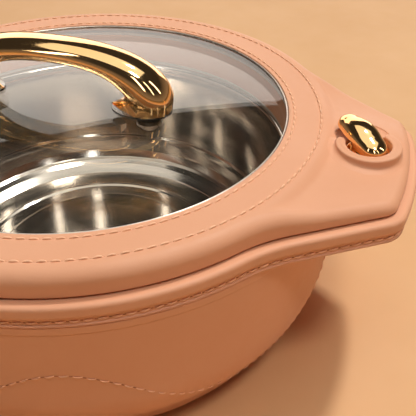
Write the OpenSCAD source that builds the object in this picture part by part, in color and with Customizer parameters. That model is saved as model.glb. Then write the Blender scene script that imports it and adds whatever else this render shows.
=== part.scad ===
/* [Overall] */
// Height of the lid ring's top face above the table
ring_z = 108; // [100:0.5:130]
// Radius of the rim at its round part
rim_r = 127; // [110:0.5:144]
// Width from the window's edge to the rim's outside
ring_w = 27; // [24:0.5:32]
// Reach of both wings beyond the rim's round part
wing_reach = 33; // [28:0.5:40]

/* [Wings] */
// Angle between a wing's axis and its corner, in degrees
wing_half_deg = 11.5; // [10:0.25:14]
// Angle between a wing's side and its axis, in degrees
wing_side_deg = 33; // [28:0.5:38]
// Radius of a wing's corners
wing_corner_r = 14; // [10:0.5:18]
// Radius of the hollow curve from the round rim into a wing
wing_fillet_r = 70; // [50:1:90]

/* [Lid] */
// Flat width of the ring from the window's edge to its roll-off
ring_flat_w = 15.5; // [12:0.5:17]
// Drop of the ring's roll-off where the wing starts
ring_drop = 3; // [2:0.1:3.6]
// Drop of the wing's top face at its tip, from the ring's top
wing_drop = 5.6; // [4.4:0.1:6]
// Height of the lid's outer wall, from the ring's top to its lower edge
lid_h = 10.4; // [9.8:0.1:12]
// Width of the rim's ledge outside the lid
ledge_w = 4.3; // [3:0.1:6]
// Gap between the lid's lower edge and the rim's ledge
lid_gap = 0.9; // [0.6:0.1:1.4]
// Wall of the lid's cover
lid_wall = 2.4; // [1.8:0.1:2.8]
// Depth of the lid's inner wall below the ring's top
liner_depth = 22; // [18:0.5:24]
// Wall of the lid's inner tube
liner_wall = 3.4; // [2.4:0.1:3.6]
// Thickness of the liner's flange
liner_flange = 1.9; // [1.4:0.1:2.2]
// Number of screws that hold the liner
liner_screw_count = 6; // [4:1:10]

/* [Window] */
// Thickness of the window pane
pane_t = 4; // [3:0.1:4.4]
// Rise of the pane's domed middle above its edge
pane_rise = 3.2; // [2:0.1:5]
// Depth of the pane's edge below the ring's top
pane_recess = 1.2; // [1:0.1:2]
// Width of the seat under the ring's lip
pane_seat_w = 4; // [3:0.1:5]
// Thickness of the pane's gasket
gasket_t = 1.5; // [1:0.1:2]

/* [Handle] */
// Place of the handle's middle along the wings' axis
handle_mid_x = -12; // [-14:0.5:0]
// Half length of the handle's arch
handle_half_l = 59.5; // [56:0.5:63]
// Height of the arch's top above its feet
handle_h = 29.5; // [26:0.5:34]
// Thickness of the bar at the middle
handle_bar_t = 10.5; // [9:0.1:12]
// Width of the bar at the middle
handle_bar_w = 19; // [16:0.5:22]
// Width of the bar at its shoulders
handle_shoulder_w = 23; // [20:0.5:26]
// Distance of a foot's inner lip from the middle
handle_lip_x = 28; // [24:0.5:32]
// Distance of a foot's screw from the middle
handle_screw_x = 47; // [44:0.5:50]
// Thickness of the soft pad under a foot, at the screw
handle_pad_t = 1; // [0.8:0.1:1.4]

/* [Locks] */
// Distance of a lock's axis beyond the rim's round part
lock_out = 10; // [8:0.5:13]
// Outer radius of the open collar round a lever
collar_r = 14.5; // [13.5:0.25:16]
// Wall of the open collar
collar_wall = 4.5; // [3.5:0.1:4.8]
// Direction of the collar's first open end from the wing's axis, in degrees
collar_open_from = 47; // [30:1:60]
// Direction of the collar's second open end from the wing's axis, in degrees
collar_open_to = 176; // [160:1:200]
// Direction of the lever at rest from the wing's axis, in degrees
lever_deg = 130; // [110:1:150]
// Reach of the lever's thumb end from its axis
lever_reach = 20.5; // [20:0.5:27]
// Width of the lever
lever_w = 14; // [12:0.25:16]
// Height of the lever above the collar
lever_h = 7.5; // [6:0.25:9]
// Radius of the lock's spindle
spindle_r = 3; // [2.5:0.1:3.4]
// Length of the bar at the spindle's foot
foot_bar_l = 15; // [13:0.5:17]
// Width of the bar at the spindle's foot
foot_bar_w = 6.2; // [6:0.1:7]
// Thickness of the bar at the spindle's foot
foot_bar_t = 2.4; // [1.8:0.1:2.6]

/* [Base] */
// Height of the rim's side band
rim_band_h = 5.2; // [5:0.1:8]
// Thickness of the rim's top plate
rim_plate_t = 3; // [2.4:0.1:3.4]
// Height of the stitched band under the rim
shell_band_h = 5; // [4.4:0.1:7]
// Step from the rim's band in to the stitched band
band_step = 0.7; // [0.4:0.1:1.2]
// Wall of the outer shell
shell_wall = 2.5; // [2:0.1:3.2]
// Draft of the shell's upper wall, in degrees
shell_draft_deg = 1.5; // [0.5:0.5:3]
// Angle of the shell's lower wall from the vertical, in degrees
shell_flare_deg = 36; // [30:0.5:40]
// Radius of the bend between the upper and the lower wall
shell_bend_r = 40; // [30:1:50]
// Height of that bend's upper end above the table
shell_bend_z = 42; // [38:0.5:48]
// Radius of the shell's bottom edge
shell_edge_r = 10; // [6:0.5:12]
// Thickness of the shell's bottom
shell_floor_t = 3.6; // [3:0.1:4.4]
// Radius of a rubber foot
foot_r = 7; // [5:0.25:8]
// Distance of a rubber foot from the edge of the shell's flat bottom
foot_edge_gap = 5.7; // [2:0.1:10]
// Distance of the bottom cover from the rubber feet
cover_gap = 9; // [3:0.5:20]
// Height of the rubber feet under the shell
foot_h = 1; // [0.6:0.1:2]

/* [Steel bowl] */
// Step from the window's edge in to the steel bowl's mouth
bowl_step = 1; // [0.5:0.1:3]
// Narrowing of the steel bowl from its mouth to the bottom's curve
bowl_taper = 4; // [2:0.5:12]
// Thickness of the steel
steel_t = 0.8; // [0.5:0.1:1.2]
// Height of the bowl's bottom above the table
bowl_floor_z = 13; // [12:0.5:20]
// Radius of the curve between the bowl's wall and bottom
bowl_curve_r = 16; // [10:0.5:20]
// Radius of the raised middle of the bowl's bottom
bowl_pad_r = 58; // [40:0.5:70]
// Rise of that middle
bowl_pad_h = 1.2; // [0.6:0.1:2]
// Radius of the bowl's rolled edge
bead_r = 2.2; // [1.8:0.1:2.4]

/* [Hidden] */
$fn = 96;

// Clearances
fit_gap = 0.3;       // between pieces that pass each other
running_gap = 0.05;  // round the spindle in its bore
overcut = 1;         // a cut runs this far past a face
far = 400;           // longer than the whole object

peach = [0.93, 0.64, 0.49];
gold = [0.9, 0.68, 0.25];
steel = [0.75, 0.76, 0.78];
rubber_grey = [0.3, 0.3, 0.32];
foam_cream = [0.93, 0.9, 0.8];
clear_blue = [0.75, 0.85, 0.9, 0.4];

// Heights above the table
lid_edge_z = ring_z - lid_h;
ledge_z = lid_edge_z - lid_gap;
plate_under_z = ledge_z - rim_plate_t;
split_z = ledge_z - rim_band_h;
band_low_z = split_z - shell_band_h;
shell_z = foot_h;
shell_top_r = rim_r - band_step - 0.3;
shell_floor_z = shell_z + shell_floor_t;

// Radii that follow from the rim's
window_r = rim_r - ring_w;
wing_tip_r = rim_r + wing_reach;
lock_x = rim_r + lock_out;
bowl_r = window_r - bowl_step;
bowl_low_r = bowl_r - bowl_taper;

// Window and lid radii
pane_r = window_r + pane_seat_w;
hub_in_r = pane_r + fit_gap;
hub_out_r = hub_in_r + 1.7;
lid_r = rim_r - ledge_w;
pane_edge_z = ring_z - pane_recess;
dome_r = window_r - 1;
pane_under_z = pane_edge_z - pane_t;
liner_top_z = pane_under_z - gasket_t;
liner_in_r = window_r + fit_gap;
liner_out_r = liner_in_r + liner_wall;
flange_low_z = lid_edge_z - 0.4;
flange_top_z = flange_low_z + liner_flange;
liner_low_z = ring_z - liner_depth;
flange_r = lid_r - lid_wall - fit_gap;
liner_screw_ring_r = (hub_out_r + flange_r) / 2;
liner_boss_r = 3.2;
liner_seat_z = flange_low_z + 1;
liner_screw_l = 6;
ring_roll_r = window_r + ring_flat_w;
roll_end_r = lid_r + 0.9;

// Steel bowl's seat in the rim
collar_in_r = liner_out_r + 0.6;
collar_out_r = collar_in_r + shell_wall;
bead_x = bowl_r + steel_t + bead_r - 0.4;
seal_low_z = liner_low_z - 2.2;
bead_z = seal_low_z - fit_gap - bead_r;
shelf_z = bead_z - bead_r;
shelf_t = 2;
shelf_in_r = bowl_r + steel_t + fit_gap;

// Wing plan: a corner circle and a hollow circle, shared by every inset
corner_c = (wing_tip_r - wing_corner_r) * [cos(wing_half_deg), sin(wing_half_deg)];
side_dir = [cos(wing_side_deg), -sin(wing_side_deg)];
side_out = [sin(wing_side_deg), cos(wing_side_deg)];
hollow_start = corner_c + (wing_corner_r + wing_fillet_r) * side_out;
hollow_run = hollow_start * side_dir
  - sqrt(pow(hollow_start * side_dir, 2) - hollow_start * hollow_start + pow(rim_r + wing_fillet_r, 2));
hollow_c = hollow_start - hollow_run * side_dir;

// Locks
collar_in = collar_r - collar_wall;
wing_slope = (wing_drop - ring_drop) / (wing_tip_r - ledge_w - roll_end_r);
wing_top_z = ring_z - ring_drop - wing_slope * (lock_x - roll_end_r);
recess_z = wing_top_z - 0.7;
hub_r = collar_in - fit_gap;
hub_low_z = recess_z + fit_gap;
hub_disc_t = 1.2;
root_back = 3.2;
lever_low_z = ring_z + fit_gap;
shoulder_low_z = ledge_z + fit_gap;
shoulder_t = 1.1;
shoulder_top_z = shoulder_low_z + shoulder_t;
washer_t = 0.4;
boss_low_z = shoulder_top_z + washer_t;
boss_r = spindle_r + 3.5;
shoulder_r = spindle_r + 2;
keeper_t = 0.9;
keeper_low_z = plate_under_z - keeper_t;
bar_top_z = keeper_low_z - fit_gap;
bar_low_z = bar_top_z - foot_bar_t;
slot_gap = 0.4;
slot_w = foot_bar_w + 2 * slot_gap;
slot_l = foot_bar_l + 2 * slot_gap;
pocket_z = bar_low_z - 0.8;
keeper_end = 7;
keeper_side = 4;
keeper_screw_out = 3.2;
keeper_l = slot_l + 2 * keeper_end;
keeper_w = slot_w + 2 * keeper_side;
keeper_screw_y = slot_l / 2 + keeper_screw_out;
lock_screw_r = 1.25;
lock_screw_head_r = 2.2;
lock_screw_head_h = 1.2;
tenon_h = 5;
tenon_w = spindle_r * 1.3;

// Plain pan-head screws
screw_r = 1.5;
screw_head_r = 2.8;
screw_head_h = 1.4;
small_screw_r = 1;
small_head_r = 1.9;
small_head_h = 0.9;

wing_boss_r = 3.4;
wing_screw_out = 9;
wing_screw_x = lock_x + wing_screw_out;
wing_screw_y = keeper_l / 2 + wing_boss_r + fit_gap;

// Handle
foot_z = pane_top(handle_screw_x + handle_mid_x) + handle_pad_t;
handle_neck_h = 9;
handle_neck_x = 39;
handle_round = 2.4;
handle_pilot_r = 1.9;
handle_screw_r = 1.75;
handle_screw_l = 8;
handle_head_r = 4;
handle_head_h = 2.2;
handle_washer_r = 6;
handle_washer_t = 1;
sleeve_r = handle_screw_r + 1.2;
washer_top_z = pane_top(handle_screw_x - handle_mid_x + handle_washer_r) - pane_t - 0.8;

function pane_top(r) = pane_edge_z + pane_rise * max(0, 1 - pow(r / dome_r, 2));

// ---- plans and profiles ----

// A quarter of the plan drawn in by d, from the middle of the tip round to the middle of the long side
function arc(c, r, a0, a1, n) = [for (i = [0 : n]) c + r * dir(a0 + (a1 - a0) * i / n)];
function dir(a) = [cos(a), sin(a)];
function plan_quarter(d) = let (
  corner_deg = 90 - wing_side_deg,
  round_deg = atan2(hollow_c[1], hollow_c[0]),
  tip_step = wing_half_deg / 3.5,
  round_step = (90 - round_deg) / 16.5
) concat(
  arc([0, 0], wing_tip_r - d, tip_step / 2, wing_half_deg - tip_step, 2),
  arc(corner_c, wing_corner_r - d, wing_half_deg, corner_deg, 7),
  arc(hollow_c, wing_fillet_r + d, corner_deg + 180, round_deg + 180, 7),
  arc([0, 0], rim_r - d, round_deg + round_step, 90 - round_step / 2, 15)
);
function reversed(list) = [for (i = [len(list) - 1 : -1 : 0]) list[i]];
function flipped(list, x, y) = [for (p = list) [x * p[0], y * p[1]]];

// The round rim with both wings, drawn in by d
module wing_plan(d = 0) {
  quarter = plan_quarter(d);
  polygon(concat(
    quarter, reversed(flipped(quarter, -1, 1)),
    flipped(quarter, -1, -1), reversed(flipped(quarter, 1, -1))
  ));
}

module plan_slab(d, z0, z1) {
  translate([0, 0, z0]) linear_extrude(z1 - z0) wing_plan(d);
}

module ring(r0, r1, z0, z1) {
  rotate_extrude($fn = 180) translate([r0, z0]) square([r1 - r0, z1 - z0]);
}

module disc(r, z0, z1) {
  translate([0, 0, z0]) cylinder(r = r, h = z1 - z0);
}

// Places its children at each lock's axis, the left one turned by half a turn
module at_lock(side) {
  rotate(side == "left" ? 180 : 0) translate([lock_x, 0, 0]) children();
}

module at_both_locks() {
  for (side = ["right", "left"]) at_lock(side) children();
}

module around(count, r, from = 0) {
  for (i = [0 : count - 1]) rotate(from + i * 360 / count) translate([r, 0, 0]) children();
}

// A screw whose head's underside is at z = 0, pointing up
module screw(r, l, head_r, head_h) {
  cylinder(r = r, h = l, $fn = 32);
  translate([0, 0, -head_h]) cylinder(r = head_r, h = head_h, $fn = 32);
}

// ---- base ----

// Points down the shell's outside, drawn in by d, from height top
function bend_center() = [
  shell_top_r - tan(shell_draft_deg) * (band_low_z - shell_bend_z) - shell_bend_r * cos(shell_draft_deg),
  shell_bend_z + shell_bend_r * sin(shell_draft_deg)
];
function shell_bend(d, a) = bend_center() + (shell_bend_r - d) * [cos(a), -sin(a)];
function edge_center() =
  let (end = shell_bend(shell_edge_r, shell_flare_deg), z = shell_z + shell_edge_r)
  [end[0] - tan(shell_flare_deg) * (end[1] - z), z];
function foot_ring_r() = edge_center()[0] - foot_edge_gap - foot_r;
function cover_r() = foot_ring_r() - foot_r - cover_gap;
function shell_edge(d, a) = edge_center() + (shell_edge_r - d) * [cos(a), -sin(a)];
function shell_points(d, top) = concat(
  [[shell_top_r - d, top]],
  [for (i = [0 : 8]) shell_bend(d, shell_draft_deg + i * (shell_flare_deg - shell_draft_deg) / 8)],
  [for (i = [0 : 5]) shell_edge(d, shell_flare_deg + i * (90 - shell_flare_deg) / 5)]
);

module shell_body(d, top, low) {
  rotate_extrude($fn = 180) intersection() {
    polygon(concat([[0, top]], shell_points(d, top), [[0, shell_z + d]]));
    translate([0, low]) square([far, far]);
  }
}

module outer_shell() color(peach) {
  difference() {
    union() {
      difference() {
        union() {
          shell_body(0, band_low_z, shell_z);
          plan_slab(band_step, band_low_z, split_z);
        }
        shell_body(shell_wall, band_low_z + overcut, shell_floor_z);
        disc(shell_top_r - shell_wall, band_low_z - overcut, split_z + overcut);
        plan_slab(band_step + shell_wall, pocket_z, split_z + overcut);
      }
      at_wing_screws() disc(wing_boss_r, band_low_z, plate_under_z - 1);
    }
    disc(cover_r() - 8, shell_z - overcut, shell_floor_z + overcut);
    disc(cover_r() + fit_gap, shell_z - overcut, cover_top_z());
    around(4, foot_ring_r(), 45) disc(foot_r, shell_z - overcut, foot_top_z());
    around(4, cover_screw_r(), 0) disc(screw_r, shell_z, shell_floor_z + overcut);
    at_wing_screws() {
      disc(screw_r + 0.1, band_low_z - overcut, plate_under_z);
      disc(screw_head_r + fit_gap, band_low_z - overcut, wing_seat_z());
    }
  }
}

function cover_top_z() = shell_z + 2;
function cover_screw_r() = cover_r() - 4;
function foot_top_z() = shell_z + 1.6;
function wing_seat_z() = band_low_z + 1.6;

module at_wing_screws() {
  at_both_locks() for (y = [-wing_screw_y, wing_screw_y]) translate([wing_screw_x - lock_x, y, 0]) children();
}

module wing_screws() color(steel) {
  at_wing_screws() translate([0, 0, wing_seat_z()])
    screw(screw_r, ledge_z - 1 - wing_seat_z(), screw_head_r, screw_head_h);
}

module rim_collar() color(peach) {
  difference() {
    union() {
      difference() {
        plan_slab(0, split_z, ledge_z);
        plan_slab(shell_wall, split_z - overcut, plate_under_z);
      }
      ring(collar_in_r, collar_out_r, shelf_z - shelf_t, ledge_z);
      ring(shelf_in_r, collar_out_r, shelf_z - shelf_t, shelf_z);
      at_wing_screws() disc(wing_boss_r, plate_under_z - 1, plate_under_z + overcut / 2);
    }
    disc(collar_in_r, shelf_z, ledge_z + overcut);
    at_both_locks() lock_slot(plate_under_z - overcut, ledge_z + overcut);
    at_wing_screws() disc(screw_r, plate_under_z - 2, ledge_z - 0.8);
    at_keeper_screws() disc(small_screw_r, plate_under_z - overcut, ledge_z - 0.8);
  }
}

module lock_slot(z0, z1) {
  translate([-slot_w / 2, -slot_l / 2, z0]) cube([slot_w, slot_l, z1 - z0]);
}

module at_keeper_screws() {
  at_both_locks() for (y = [-keeper_screw_y, keeper_screw_y]) translate([0, y, 0]) children();
}

module lock_keepers() color(steel) {
  difference() {
    at_both_locks() translate([-keeper_w / 2, -keeper_l / 2, keeper_low_z]) cube([keeper_w, keeper_l, keeper_t]);
    at_both_locks() lock_slot(keeper_low_z - overcut, plate_under_z + overcut);
    at_keeper_screws() disc(small_screw_r + 0.1, keeper_low_z - overcut, plate_under_z + overcut);
  }
}

module keeper_screws() color(steel) {
  at_keeper_screws() translate([0, 0, keeper_low_z])
    screw(small_screw_r, ledge_z - 1 - keeper_low_z, small_head_r, small_head_h);
}

// The steel bowl's outline, thickened outward by d
function bowl_points(d) = let (
  c = [bowl_low_r - bowl_curve_r, bowl_floor_z + bowl_curve_r],
  r = bowl_curve_r + d
) concat(
  [[0, bowl_floor_z + bowl_pad_h - d], [bowl_pad_r - 1, bowl_floor_z + bowl_pad_h - d],
   [bowl_pad_r, bowl_floor_z - d]],
  [for (i = [0 : 8]) c + r * [sin(i * 11.25), -cos(i * 11.25)]],
  [[bowl_r + d, bead_z], [0, bead_z]]
);

module inner_bowl() color(steel) {
  rotate_extrude($fn = 180) difference() {
    union() {
      polygon(bowl_points(steel_t));
      translate([bead_x, bead_z]) circle(r = bead_r, $fn = 32);
    }
    polygon(bowl_points(0));
    translate([0, bead_z]) square([bowl_r, far]);
  }
}

module bowl_insulation() color(foam_cream) {
  rotate_extrude($fn = 180) difference() {
    intersection() {
      polygon(concat([[0, foam_top_z()]], shell_points(shell_wall + fit_gap, foam_top_z()), [[0, shell_z]]));
      translate([0, shell_floor_z + fit_gap]) square([far, foam_top_z() - shell_floor_z - fit_gap]);
    }
    polygon(bowl_points(steel_t + fit_gap));
  }
}

function foam_top_z() = shelf_z - shelf_t - fit_gap;

module base_cover() color(peach) {
  difference() {
    disc(cover_r(), shell_z, cover_top_z());
    around(4, cover_screw_r(), 0) {
      disc(screw_r + 0.1, shell_z - overcut, cover_top_z() + overcut);
      disc(screw_head_r + 0.1, shell_z - overcut, shell_z + 1);
    }
  }
}

module base_screws() color(steel) {
  around(4, cover_screw_r(), 0) translate([0, 0, shell_z + 1])
    screw(screw_r, shell_floor_t - 1, screw_head_r, 1);
}

module rubber_feet() color(rubber_grey) {
  around(4, foot_ring_r(), 45) disc(foot_r, 0, foot_top_z());
}

// ---- lid ----

// The lid's top face from the window's middle outward, lowered by d
function lid_top_points(d) = concat(
  [[0, ring_z - d]],
  [for (i = [0 : 4]) [ring_roll_r + (roll_end_r - ring_roll_r) * i / 4, ring_z - d - ring_drop * pow(i / 4, 2)]],
  [[wing_tip_r, ring_z - d - ring_drop - wing_slope * (wing_tip_r - roll_end_r)]]
);

module under_lid_top(d) {
  rotate_extrude($fn = 180) polygon(concat(lid_top_points(d), [[wing_tip_r, 0], [0, 0]]));
}

module lid_frame() color(peach) {
  difference() {
    union() {
      difference() {
        intersection() {
          plan_slab(ledge_w, lid_edge_z, ring_z + overcut);
          under_lid_top(0);
        }
        intersection() {
          plan_slab(ledge_w + lid_wall, lid_edge_z - overcut, ring_z);
          under_lid_top(lid_wall);
        }
      }
      ring(hub_in_r, hub_out_r, flange_top_z, ring_z - lid_wall / 2);
      at_liner_screws() disc(liner_boss_r, flange_top_z, ring_z - lid_wall / 2);
      at_both_locks() disc(boss_r, boss_low_z, recess_z - lid_wall / 2);
      intersection() {
        at_both_locks() disc(collar_r + 1, recess_z - lid_wall, ring_z);
        under_lid_top(lid_wall / 4);
      }
    }
    disc(window_r, flange_low_z, ring_z + overcut);
    disc(hub_in_r, flange_low_z, pane_edge_z);
    at_liner_screws() disc(small_screw_r, flange_low_z, ring_z - lid_wall);
    at_both_locks() {
      disc(spindle_r + running_gap, boss_low_z - overcut, ring_z);
      disc(collar_in + 0.8, recess_z, ring_z + overcut);
    }
  }
  at_both_locks() lock_collar();
}

module at_liner_screws() {
  around(liner_screw_count, liner_screw_ring_r, 30) children();
}

// The collar's wall runs round from one open end to the other, and both ends are rounded
module lock_collar() {
  from = collar_open_to;
  to = collar_open_from + 360;
  mid_r = collar_r - collar_wall / 2;
  translate([0, 0, recess_z - lid_wall / 2]) linear_extrude(ring_z - recess_z + lid_wall / 2) polygon(concat(
    arc([0, 0], collar_r, from, to, 24),
    arc(mid_r * dir(to), collar_wall / 2, to + 20, to + 160, 7),
    arc([0, 0], collar_in, to, from, 24),
    arc(mid_r * dir(from), collar_wall / 2, from + 200, from + 340, 7)
  ));
}

module pane_solid(lift) {
  points = [for (i = [0 : 12]) [dome_r * i / 12, pane_top(dome_r * i / 12) + lift]];
  rotate_extrude($fn = 180) polygon(concat(points, [[pane_r, pane_edge_z + lift], [pane_r, 0], [0, 0]]));
}

module window_pane() color(clear_blue) {
  difference() {
    pane_solid(0);
    pane_solid(-pane_t);
    at_handle_feet() disc(sleeve_r + 0.1, 0, ring_z + 2 * pane_rise);
  }
}

module pane_gasket() color(rubber_grey) {
  ring(liner_in_r + fit_gap, liner_out_r, liner_top_z, pane_under_z);
}

module lid_insulation() color(foam_cream) {
  difference() {
    ring(hub_out_r + fit_gap, flange_r, flange_top_z, ring_z - ring_drop - lid_wall - fit_gap);
    at_liner_screws() disc(liner_boss_r + fit_gap, 0, ring_z);
  }
}

module lid_liner() color(peach) {
  difference() {
    union() {
      ring(liner_in_r, liner_out_r, liner_low_z, liner_top_z);
      ring(liner_out_r - 1, flange_r, flange_low_z, flange_top_z);
    }
    at_liner_screws() {
      disc(small_screw_r + 0.1, flange_low_z - overcut, flange_top_z + overcut);
      disc(small_head_r + 0.1, flange_low_z - overcut, liner_seat_z);
    }
  }
}

module liner_screws() color(steel) {
  at_liner_screws() translate([0, 0, liner_seat_z])
    screw(small_screw_r, liner_screw_l, small_head_r, small_head_h);
}

module lid_seal() color(rubber_grey) {
  ring(liner_in_r + fit_gap, liner_out_r - fit_gap, seal_low_z, liner_low_z);
}

// ---- handle ----

module at_handle_feet() {
  for (x = [-handle_screw_x, handle_screw_x]) translate([handle_mid_x + x, 0, 0]) children();
}

// Outer and inner edge of the arch's side view at t degrees along it, from the foot on +X
function arch_point(a, h, t) = [
  a * sign(cos(t)) * pow(abs(cos(t)), 2 / handle_round),
  h * pow(sin(t), 2 / handle_round)
];
function arch_outer(t) = arch_point(handle_half_l, handle_h, t);
function arch_inner(t) = let (
  p = arch_point(handle_neck_x, handle_h - handle_bar_t, t),
  flare = (handle_neck_x - handle_lip_x) * pow(max(0, 1 - p[1] / handle_neck_h), 2)
) [p[0] - sign(cos(t)) * flare, p[1]];
function arch_half_w(t) =
  (handle_bar_w + (handle_shoulder_w - handle_bar_w) * pow(abs(cos(t)), 2)) / 2;
// One closed section of the bar at t, drawn in by d
function arch_section(t, d, sides) = let (
  o = arch_outer(t), i = arch_inner(t), mid = (o + i) / 2, half = (o - i) / 2,
  share = 1 - d / norm(half)
) [for (k = [0 : sides - 1]) let (a = k * 360 / sides)
  [mid[0] + half[0] * share * cos(a), (arch_half_w(t) - d) * sin(a), mid[1] + half[1] * share * cos(a)]];

module arch() {
  steps = 44;
  sides = 28;
  points = [for (s = [0 : steps]) each arch_section(s * 180 / steps, 0, sides)];
  walls = [for (s = [0 : steps - 1], k = [0 : sides - 1]) let (n = (k + 1) % sides)
    [s * sides + k, s * sides + n, (s + 1) * sides + n, (s + 1) * sides + k]];
  first = [for (k = [sides - 1 : -1 : 0]) k];
  last = [for (k = [0 : sides - 1]) steps * sides + k];
  polyhedron(points, concat([first], [last], walls));
}

module handle() color(gold) {
  difference() {
    translate([handle_mid_x, 0, foot_z]) arch();
    at_handle_feet() disc(handle_pilot_r, foot_z - overcut, foot_z + handle_screw_l + 0.5);
  }
}

module handle_pads() color(clear_blue) {
  outline = [for (p = arch_section(0, 1, 40)) [p[0], p[1]]];
  difference() {
    union() {
      difference() {
        translate([handle_mid_x, 0, pane_edge_z]) linear_extrude(foot_z - pane_edge_z)
          for (turn = [0, 180]) rotate(turn) polygon(outline);
        pane_solid(0);
      }
      at_handle_feet() disc(sleeve_r, washer_top_z, foot_z);
      intersection() {
        at_handle_feet() disc(handle_washer_r, washer_top_z, ring_z + pane_rise);
        pane_solid(-pane_t);
      }
    }
    at_handle_feet() disc(handle_screw_r + 0.05, washer_top_z - overcut, foot_z + overcut);
  }
}

module handle_washers() color(steel) {
  at_handle_feet() difference() {
    disc(handle_washer_r, washer_top_z - handle_washer_t, washer_top_z);
    disc(handle_screw_r + 0.2, washer_top_z - 2 * handle_washer_t, washer_top_z + overcut);
  }
}

module handle_screws() color(steel) {
  at_handle_feet() translate([0, 0, washer_top_z - handle_washer_t])
    screw(handle_screw_r, foot_z + handle_screw_l - washer_top_z + handle_washer_t, handle_head_r, handle_head_h);
}

// ---- locks ----

module lock_lever(side) color(gold) at_lock(side) {
  difference() {
    union() {
      disc(hub_r, hub_low_z, hub_low_z + hub_disc_t);
      rotate(lever_deg) {
        hull() for (x = [-root_back, root_back]) translate([x, 0, 0])
          disc(hub_r - root_back - 0.2, hub_low_z, lever_low_z + 1);
        lever_body();
      }
    }
    translate([-tenon_w / 2 - 0.1, -tenon_w / 2 - 0.1, hub_low_z - overcut])
      cube([tenon_w + 0.2, tenon_w + 0.2, tenon_h + overcut + 0.1]);
    disc(lock_screw_r, hub_low_z, lever_low_z + lever_h * 0.55);
  }
}

// A long drop with a domed top and a flat underside, pointing along +X
module lever_body() {
  knobs = [[-root_back, 0.44, 0.55], [4.5, 0.5, 1], [lever_reach - 0.43 * lever_w, 0.43, 0.85]];
  intersection() {
    hull() for (k = knobs) translate([k[0], 0, lever_low_z])
      scale([1, 1, k[2] * lever_h / (k[1] * lever_w)]) sphere(r = k[1] * lever_w, $fn = 32);
    translate([-far / 2, -far / 2, lever_low_z]) cube(far);
  }
}

module lock_spindle(side) color(steel) at_lock(side) {
  difference() {
    union() {
      disc(spindle_r, bar_top_z - overcut, hub_low_z);
      disc(shoulder_r, shoulder_low_z, shoulder_top_z);
      translate([-tenon_w / 2, -tenon_w / 2, hub_low_z - overcut]) cube([tenon_w, tenon_w, tenon_h + overcut]);
      translate([-foot_bar_w / 2, -foot_bar_l / 2, bar_low_z]) cube([foot_bar_w, foot_bar_l, foot_bar_t]);
    }
    disc(lock_screw_r + 0.1, bar_low_z - overcut, hub_low_z + tenon_h + overcut);
    disc(lock_screw_head_r + 0.1, bar_low_z - overcut, bar_low_z + lock_screw_head_h);
  }
}

module lock_washer(side) color(steel) at_lock(side) {
  difference() {
    disc(shoulder_r, shoulder_top_z, boss_low_z);
    disc(spindle_r + 0.2, shoulder_top_z - overcut, boss_low_z + overcut);
  }
}

module lock_screw(side) color(steel) at_lock(side) {
  translate([0, 0, bar_low_z + lock_screw_head_h])
    screw(lock_screw_r, lever_low_z + lever_h / 2 - bar_low_z - lock_screw_head_h,
      lock_screw_head_r, lock_screw_head_h);
}

outer_shell();
rim_collar();
inner_bowl();
bowl_insulation();
base_cover();
base_screws();
rubber_feet();
wing_screws();
lock_keepers();
keeper_screws();
lid_frame();
window_pane();
pane_gasket();
lid_insulation();
lid_liner();
liner_screws();
lid_seal();
handle();
handle_pads();
handle_washers();
handle_screws();
lock_lever("right");  // lock_lever_right
lock_spindle("right");  // lock_spindle_right
lock_washer("right");  // lock_washer_right
lock_screw("right");  // lock_screw_right
lock_lever("left");  // lock_lever_left
lock_spindle("left");  // lock_spindle_left
lock_washer("left");  // lock_washer_left
lock_screw("left");  // lock_screw_left
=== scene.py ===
"""Looks of the insulated chapati casserole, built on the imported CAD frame."""
import math

import bmesh
import bpy
import numpy as np
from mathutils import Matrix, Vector


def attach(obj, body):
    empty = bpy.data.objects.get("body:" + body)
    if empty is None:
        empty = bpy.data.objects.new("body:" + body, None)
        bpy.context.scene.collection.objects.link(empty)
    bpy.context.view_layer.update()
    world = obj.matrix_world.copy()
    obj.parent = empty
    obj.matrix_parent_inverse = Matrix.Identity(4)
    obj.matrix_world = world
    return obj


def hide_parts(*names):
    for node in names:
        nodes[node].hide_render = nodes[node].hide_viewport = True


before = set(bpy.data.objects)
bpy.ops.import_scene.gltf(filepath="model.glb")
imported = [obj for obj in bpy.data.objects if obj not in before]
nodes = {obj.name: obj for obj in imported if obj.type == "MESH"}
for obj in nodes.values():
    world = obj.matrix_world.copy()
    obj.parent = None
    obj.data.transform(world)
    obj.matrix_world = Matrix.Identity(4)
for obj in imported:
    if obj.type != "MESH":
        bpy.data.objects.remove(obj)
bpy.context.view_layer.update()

MM = 0.001

# Sizes in millimetres, as in the part's source
RING_Z = 108.0
WINDOW_R = 100.0
RIM_R = 127.0
TIP_R = 160.0
WING_HALF = 11.5
SIDE_DEG = 33.0
CORNER_R = 14.0
HOLLOW_R = 70.0
LEDGE_W = 4.3
LID_EDGE_Z = 97.6
LEDGE_Z = 96.7
PLATE_UNDER_Z = 93.7
SPLIT_Z = 91.5
BAND_LOW_Z = 86.5
PANE_R = 104.0
PANE_EDGE_Z = 106.8
PANE_T = 4.0
PANE_RISE = 3.2
DOME_R = 99.0
HANDLE_MID_X = -12.0
HANDLE_SCREW_X = 47.0
LOCK_X = 137.0
LOCK_TURN = {"right": 0.0, "left": 180.0}

# The lid's top
RING_FLAT_R = 115.5
ROLL_R = 7.2
WING_ROOT_R = 123.6
WING_ROOT_Z = 105.0
WING_SLOPE = 0.081
INNER_STITCH_R = 102.7
OUTER_STITCH_R = 115.0
GROOVE_DEPTH = 0.28


# ---- outline of the rim with its wings ----

def direction(deg):
    a = np.radians(deg)
    return np.stack([np.cos(a), np.sin(a)], axis=-1)


def arc(center, radius, first, last, count):
    """Points of an arc without its first one, and the directions from its center."""
    angles = np.linspace(first, last, count + 1)[1:]
    return center + radius * direction(angles), direction(angles)


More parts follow.
